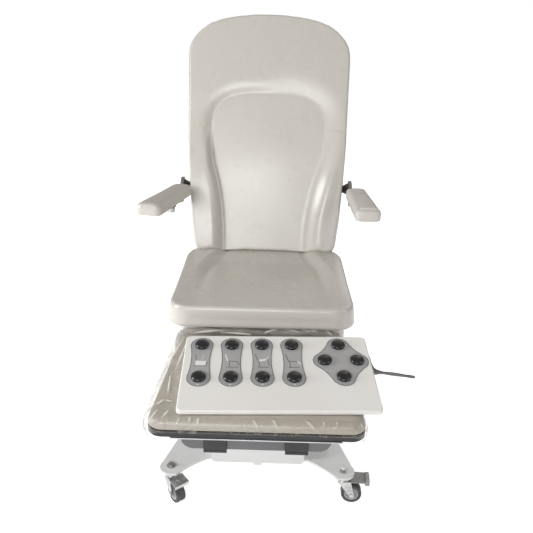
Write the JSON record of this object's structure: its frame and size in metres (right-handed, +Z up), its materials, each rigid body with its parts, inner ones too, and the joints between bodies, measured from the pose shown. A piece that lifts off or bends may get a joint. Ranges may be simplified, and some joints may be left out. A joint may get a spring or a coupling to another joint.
{
  "type": "medical examination chair",
  "caption": "Powered examination chair on castors with lifting column, reclining backrest, leg rest, folding armrests, pull-out tray and a corded foot control",
  "frame": {"origin": "on the floor, under the middle of the whole chair's box without its loose cord", "axes": "X to the right of someone facing the chair's front, Y to the rear, Z up; the chair faces -Y"},
  "size_m": [0.8013, 1.1481, 1.3842],
  "materials": {
    "base_plate": null,
    "base_cover": null,
    "castor_bolts": null,
    "mains_inlet": null,
    "column_outer": null,
    "column_middle": null,
    "column_inner": null,
    "seat_frame": null,
    "seat_skirt": null,
    "seat_cushion": null,
    "hinge_pins": null,
    "back_frame": null,
    "back_shell": null,
    "back_cushion": null,
    "back_rod": null,
    "back_actuator": null,
    "leg_frame": null,
    "leg_board": null,
    "leg_cushion": null,
    "leg_rod": null,
    "leg_actuator": null,
    "tray": null,
    "tray_clips": null,
    "left_arm": null,
    "right_arm": null,
    "left_arm_plate": null,
    "left_arm_pad": null,
    "right_arm_plate": null,
    "right_arm_pad": null,
    "control_housing": null,
    "control_bottom": null,
    "key_panels": null,
    "cable_gland": null,
    "control_cord": null,
    "cord_hank": null,
    "plug": null,
    "front_left_fork": null,
    "front_left_wheel": null,
    "front_left_brake": null,
    "front_right_fork": null,
    "front_right_wheel": null,
    "front_right_brake": null,
    "rear_left_fork": null,
    "rear_left_wheel": null,
    "rear_right_fork": null,
    "rear_right_wheel": null,
    "button_1": null,
    "button_2": null,
    "button_3": null,
    "button_4": null,
    "button_5": null,
    "button_6": null,
    "button_7": null,
    "button_8": null,
    "button_9": null,
    "button_10": null,
    "button_11": null,
    "button_12": null
  },
  "bodies": {
    "base": {"base_plate": "base_plate", "base_cover": "base_cover", "castor_bolts": "castor_bolts", "mains_inlet": "mains_inlet", "column_outer": "column_outer"},
    "lift_stage": {"column_middle": "column_middle"},
    "lift_head": {"column_inner": "column_inner"},
    "seat": {"seat_frame": "seat_frame", "seat_skirt": "seat_skirt", "seat_cushion": "seat_cushion", "hinge_pins": "hinge_pins"},
    "backrest": {"back_frame": "back_frame", "back_shell": "back_shell", "back_cushion": "back_cushion"},
    "back_rod": {"back_rod": "back_rod"},
    "back_actuator": {"back_actuator": "back_actuator"},
    "leg_rest": {"leg_frame": "leg_frame", "leg_board": "leg_board", "leg_cushion": "leg_cushion"},
    "leg_rod": {"leg_rod": "leg_rod"},
    "leg_actuator": {"leg_actuator": "leg_actuator"},
    "tray": {"tray": "tray", "tray_clips": "tray_clips"},
    "left_arm": {"left_arm": "left_arm"},
    "right_arm": {"right_arm": "right_arm"},
    "left_pad": {"left_arm_plate": "left_arm_plate", "left_arm_pad": "left_arm_pad"},
    "right_pad": {"right_arm_plate": "right_arm_plate", "right_arm_pad": "right_arm_pad"},
    "foot_control": {"control_housing": "control_housing", "control_bottom": "control_bottom", "key_panels": "key_panels", "cable_gland": "cable_gland", "control_cord": "control_cord", "cord_hank": "cord_hank", "plug": "plug"},
    "front_left_castor": {"front_left_fork": "front_left_fork"},
    "front_left_wheel": {"front_left_wheel": "front_left_wheel"},
    "front_left_brake": {"front_left_brake": "front_left_brake"},
    "front_right_castor": {"front_right_fork": "front_right_fork"},
    "front_right_wheel": {"front_right_wheel": "front_right_wheel"},
    "front_right_brake": {"front_right_brake": "front_right_brake"},
    "rear_left_castor": {"rear_left_fork": "rear_left_fork"},
    "rear_left_wheel": {"rear_left_wheel": "rear_left_wheel"},
    "rear_right_castor": {"rear_right_fork": "rear_right_fork"},
    "rear_right_wheel": {"rear_right_wheel": "rear_right_wheel"},
    "button_1": {"button_1": "button_1"},
    "button_2": {"button_2": "button_2"},
    "button_3": {"button_3": "button_3"},
    "button_4": {"button_4": "button_4"},
    "button_5": {"button_5": "button_5"},
    "button_6": {"button_6": "button_6"},
    "button_7": {"button_7": "button_7"},
    "button_8": {"button_8": "button_8"},
    "button_9": {"button_9": "button_9"},
    "button_10": {"button_10": "button_10"},
    "button_11": {"button_11": "button_11"},
    "button_12": {"button_12": "button_12"}
  },
  "joints": [
    {"name": "lift_lower", "type": "slide", "parent": "base", "child": "lift_stage", "axis": [0, 0, 1], "range_m": [0, 0.15]},
    {"name": "lift_upper", "type": "slide", "parent": "lift_stage", "child": "lift_head", "axis": [0, 0, 1], "range_m": [0, 0.15]},
    {"name": "seat_tilt", "type": "hinge", "parent": "lift_head", "child": "seat", "pos_m": [0.015, -0.033, 0.4397], "axis": [-1, 0, 0], "range_deg": [0, 12]},
    {"name": "backrest_recline", "type": "hinge", "parent": "seat", "child": "backrest", "pos_m": [0.015, 0.322, 0.54], "axis": [-1, 0, 0], "range_deg": [0, 72]},
    {"name": "back_rod_pivot", "type": "hinge", "parent": "backrest", "child": "back_rod", "pos_m": [0.127, 0.432, 0.493], "axis": [1, 0, 0], "range_deg": [0, 72]},
    {"name": "back_actuator_slide", "type": "slide", "parent": "back_rod", "child": "back_actuator", "axis": [0, 0.8605, 0.5095], "range_m": [0, 0.1415]},
    {"name": "leg_rest_fold", "type": "hinge", "parent": "seat", "child": "leg_rest", "pos_m": [0.015, -0.157, 0.398], "axis": [1, 0, 0], "range_deg": [-2, 34]},
    {"name": "leg_rod_pivot", "type": "hinge", "parent": "leg_rest", "child": "leg_rod", "pos_m": [-0.097, -0.179, 0.342], "axis": [-1, 0, 0], "range_deg": [-2, 34]},
    {"name": "leg_actuator_slide", "type": "slide", "parent": "leg_rod", "child": "leg_actuator", "axis": [0, -0.9967, -0.0817], "range_m": [-0.0025, 0.036]},
    {"name": "tray_slide", "type": "slide", "parent": "leg_rest", "child": "tray", "axis": [0, -0.9992, -0.0401], "range_m": [0, 0.15]},
    {"name": "left_arm_fold", "type": "hinge", "parent": "backrest", "child": "left_arm", "pos_m": [-0.29, 0.343, 0.802], "axis": [-1, 0, 0], "range_deg": [0, 68]},
    {"name": "right_arm_fold", "type": "hinge", "parent": "backrest", "child": "right_arm", "pos_m": [0.32, 0.343, 0.802], "axis": [-1, 0, 0], "range_deg": [0, 68]},
    {"name": "left_pad_swing", "type": "hinge", "parent": "left_arm", "child": "left_pad", "pos_m": [-0.295, 0.097, 0.8], "axis": [0, 0, -1], "range_deg": [-12, 8]},
    {"name": "right_pad_swing", "type": "hinge", "parent": "right_arm", "child": "right_pad", "pos_m": [0.325, 0.097, 0.8], "axis": [0, 0, 1], "range_deg": [0, 20]},
    {"name": "foot_control_lift_off", "type": "slide", "parent": "leg_rest", "child": "foot_control", "axis": [0, -0.0401, 0.9992], "range_m": [0, 0.12]},
    {"name": "front_left_swivel", "type": "hinge", "parent": "base", "child": "front_left_castor", "pos_m": [-0.241, -0.333, 0.09], "axis": [0, 0, 1], "continuous": true},
    {"name": "front_left_spin", "type": "hinge", "parent": "front_left_castor", "child": "front_left_wheel", "pos_m": [-0.22376, -0.35506, 0.031], "axis": [0.788, 0.6157, 0], "continuous": true},
    {"name": "front_left_brake_press", "type": "hinge", "parent": "front_left_castor", "child": "front_left_brake", "pos_m": [-0.22512, -0.35333, 0.0828], "axis": [0.788, 0.6157, 0], "range_deg": [0, 8]},
    {"name": "front_right_swivel", "type": "hinge", "parent": "base", "child": "front_right_castor", "pos_m": [0.271, -0.333, 0.09], "axis": [0, 0, 1], "continuous": true},
    {"name": "front_right_spin", "type": "hinge", "parent": "front_right_castor", "child": "front_right_wheel", "pos_m": [0.29896, -0.33447, 0.031], "axis": [0.0523, 0.9986, 0], "continuous": true},
    {"name": "front_right_brake_press", "type": "hinge", "parent": "front_right_castor", "child": "front_right_brake", "pos_m": [0.29677, -0.33435, 0.0828], "axis": [0.0523, 0.9986, 0], "range_deg": [0, 8]},
    {"name": "rear_left_swivel", "type": "hinge", "parent": "base", "child": "rear_left_castor", "pos_m": [-0.241, 0.267, 0.09], "axis": [0, 0, 1], "continuous": true},
    {"name": "rear_left_spin", "type": "hinge", "parent": "rear_left_castor", "child": "rear_left_wheel", "pos_m": [-0.22786, 0.29172, 0.031], "axis": [-0.8829, 0.4695, 0], "continuous": true},
    {"name": "rear_right_swivel", "type": "hinge", "parent": "base", "child": "rear_right_castor", "pos_m": [0.271, 0.267, 0.09], "axis": [0, 0, 1], "continuous": true},
    {"name": "rear_right_spin", "type": "hinge", "parent": "rear_right_castor", "child": "rear_right_wheel", "pos_m": [0.25786, 0.29172, 0.031], "axis": [-0.8829, -0.4695, 0], "continuous": true},
    {"name": "button_1_press", "type": "slide", "parent": "foot_control", "child": "button_1", "axis": [-0.0069, 0.2044, -0.9789], "range_m": [0, 0.003], "stiffness_N_per_m": 400},
    {"name": "button_2_press", "type": "slide", "parent": "foot_control", "child": "button_2", "axis": [-0.0069, 0.2044, -0.9789], "range_m": [0, 0.003], "stiffness_N_per_m": 400},
    {"name": "button_3_press", "type": "slide", "parent": "foot_control", "child": "button_3", "axis": [-0.0069, 0.2044, -0.9789], "range_m": [0, 0.003], "stiffness_N_per_m": 400},
    {"name": "button_4_press", "type": "slide", "parent": "foot_control", "child": "button_4", "axis": [-0.0069, 0.2044, -0.9789], "range_m": [0, 0.003], "stiffness_N_per_m": 400},
    {"name": "button_5_press", "type": "slide", "parent": "foot_control", "child": "button_5", "axis": [-0.0069, 0.2044, -0.9789], "range_m": [0, 0.003], "stiffness_N_per_m": 400},
    {"name": "button_6_press", "type": "slide", "parent": "foot_control", "child": "button_6", "axis": [-0.0069, 0.2044, -0.9789], "range_m": [0, 0.003], "stiffness_N_per_m": 400},
    {"name": "button_7_press", "type": "slide", "parent": "foot_control", "child": "button_7", "axis": [-0.0069, 0.2044, -0.9789], "range_m": [0, 0.003], "stiffness_N_per_m": 400},
    {"name": "button_8_press", "type": "slide", "parent": "foot_control", "child": "button_8", "axis": [-0.0069, 0.2044, -0.9789], "range_m": [0, 0.003], "stiffness_N_per_m": 400},
    {"name": "button_9_press", "type": "slide", "parent": "foot_control", "child": "button_9", "axis": [-0.0069, 0.2044, -0.9789], "range_m": [0, 0.003], "stiffness_N_per_m": 400},
    {"name": "button_10_press", "type": "slide", "parent": "foot_control", "child": "button_10", "axis": [-0.0069, 0.2044, -0.9789], "range_m": [0, 0.003], "stiffness_N_per_m": 400},
    {"name": "button_11_press", "type": "slide", "parent": "foot_control", "child": "button_11", "axis": [-0.0069, 0.2044, -0.9789], "range_m": [0, 0.003], "stiffness_N_per_m": 400},
    {"name": "button_12_press", "type": "slide", "parent": "foot_control", "child": "button_12", "axis": [-0.0069, 0.2044, -0.9789], "range_m": [0, 0.003], "stiffness_N_per_m": 400}
  ],
  "couplings": [
    {"joint": "lift_upper", "follows": "lift_lower", "ratio": 1},
    {"joint": "back_rod_pivot", "follows": "backrest_recline", "ratio": 0.966},
    {"joint": "back_actuator_slide", "follows": "backrest_recline", "m_per_rad": 0.1119},
    {"joint": "leg_rod_pivot", "follows": "leg_rest_fold", "ratio": 0.971},
    {"joint": "leg_actuator_slide", "follows": "leg_rest_fold", "m_per_rad": 0.0582}
  ]
}
